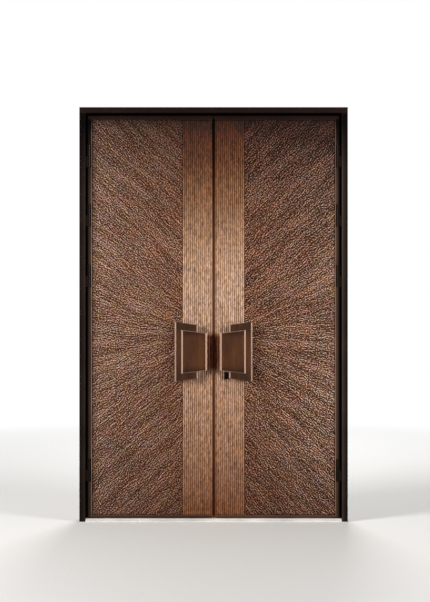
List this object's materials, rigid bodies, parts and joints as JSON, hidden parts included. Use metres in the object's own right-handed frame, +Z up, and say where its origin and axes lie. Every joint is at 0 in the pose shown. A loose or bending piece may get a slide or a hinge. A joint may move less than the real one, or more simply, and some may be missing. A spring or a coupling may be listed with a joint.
{
  "type": "double front door",
  "caption": "Double front door in a mitred metal frame: outward-opening leaves with a ray relief, fluted strips along the seam, C-shaped pull handles and a bolt lock.",
  "frame": {"origin": "middle of the frame's foot, on the floor, half way through the frame's depth", "axes": "+X to the right seen from outside, +Y into the building, +Z up; the outside faces -Y"},
  "size_m": [1.8, 0.186, 2.78],
  "materials": {
    "frame_bronze": "dark bronze, satin",
    "margin_bronze": "brown bronze, satin",
    "inside_bronze": "brown bronze, satin",
    "relief_bronze": "cast, brushed over dark patina",
    "reed_bronze": "satin rose bronze",
    "handle_bronze": "dark brown, brushed, with bright bevels",
    "threshold_steel": "brushed",
    "lock_steel": "brushed",
    "hinge_steel": "dark bronze, satin",
    "lock_black": "gloss black",
    "rubber": "matt"
  },
  "bodies": {
    "frame": {"head": "frame_bronze", "head_stop": "frame_bronze", "threshold": "threshold_steel", "frame_seal": "rubber", "hinge_pins": "hinge_steel", "hinge_washers": "hinge_steel", "left_jamb": "frame_bronze", "left_stop": "frame_bronze", "left_jamb_hinge_1": "hinge_steel", "left_jamb_hinge_2": "hinge_steel", "left_jamb_hinge_3": "hinge_steel", "left_jamb_hinge_4": "hinge_steel", "right_jamb": "frame_bronze", "right_stop": "frame_bronze", "right_jamb_hinge_1": "hinge_steel", "right_jamb_hinge_2": "hinge_steel", "right_jamb_hinge_3": "hinge_steel", "right_jamb_hinge_4": "hinge_steel"},
    "left_leaf": {"left_slab": "margin_bronze", "left_relief_panel": "relief_bronze", "left_fluted_strip": "reed_bronze", "left_edge_bead": "reed_bronze", "left_inner_panel": "inside_bronze", "left_sweep_seal": "rubber", "left_outer_back_frame": "handle_bronze", "left_outer_face_plate": "handle_bronze", "left_inner_back_frame": "handle_bronze", "left_inner_face_plate": "handle_bronze", "left_handle_posts": "handle_bronze", "left_leaf_hinge_1": "hinge_steel", "left_leaf_hinge_2": "hinge_steel", "left_leaf_hinge_3": "hinge_steel", "left_leaf_hinge_4": "hinge_steel", "strike_plate": "lock_steel"},
    "right_leaf": {"right_slab": "margin_bronze", "right_relief_panel": "relief_bronze", "right_fluted_strip": "reed_bronze", "right_edge_bead": "reed_bronze", "right_inner_panel": "inside_bronze", "right_sweep_seal": "rubber", "right_outer_back_frame": "handle_bronze", "right_outer_face_plate": "handle_bronze", "right_inner_back_frame": "handle_bronze", "right_inner_face_plate": "handle_bronze", "right_handle_posts": "handle_bronze", "right_leaf_hinge_1": "hinge_steel", "right_leaf_hinge_2": "hinge_steel", "right_leaf_hinge_3": "hinge_steel", "right_leaf_hinge_4": "hinge_steel", "meeting_seal": "rubber", "lock_case": "lock_steel", "lock_forend": "lock_steel", "lock_badge": "lock_black", "turn_rose": "handle_bronze"},
    "top_bolt": {"top_flush_bolt": "lock_steel"},
    "bottom_bolt": {"bottom_flush_bolt": "lock_steel"},
    "lock_bolts": {"lock_bolts": "lock_steel"},
    "lock_turn": {"key_plug": "lock_black", "thumb_turn": "handle_bronze"}
  },
  "joints": [
    {"name": "left_leaf_swing", "type": "hinge", "parent": "frame", "child": "left_leaf", "pos_m": [-0.831, -0.04, 1.377], "axis": [0, 0, -1], "range_deg": [0, 95]},
    {"name": "right_leaf_swing", "type": "hinge", "parent": "frame", "child": "right_leaf", "pos_m": [0.831, -0.04, 1.377], "axis": [0, 0, 1], "range_deg": [0, 95]},
    {"name": "lock_turn_spin", "type": "hinge", "parent": "right_leaf", "child": "lock_turn", "pos_m": [0.089, -0.012, 0.98], "axis": [0, 1, 0], "range_deg": [0, 95]},
    {"name": "lock_bolt_slide", "type": "slide", "parent": "right_leaf", "child": "lock_bolts", "axis": [-1, 0, 0], "range_m": [0, 0.025]},
    {"name": "top_bolt_slide", "type": "slide", "parent": "left_leaf", "child": "top_bolt", "axis": [0, 0, 1], "range_m": [0, 0.022]},
    {"name": "bottom_bolt_slide", "type": "slide", "parent": "left_leaf", "child": "bottom_bolt", "axis": [0, 0, -1], "range_m": [0, 0.022]}
  ],
  "couplings": [
    {"joint": "lock_turn_spin", "follows": "lock_bolt_slide", "rad_per_m": 62.83}
  ]
}
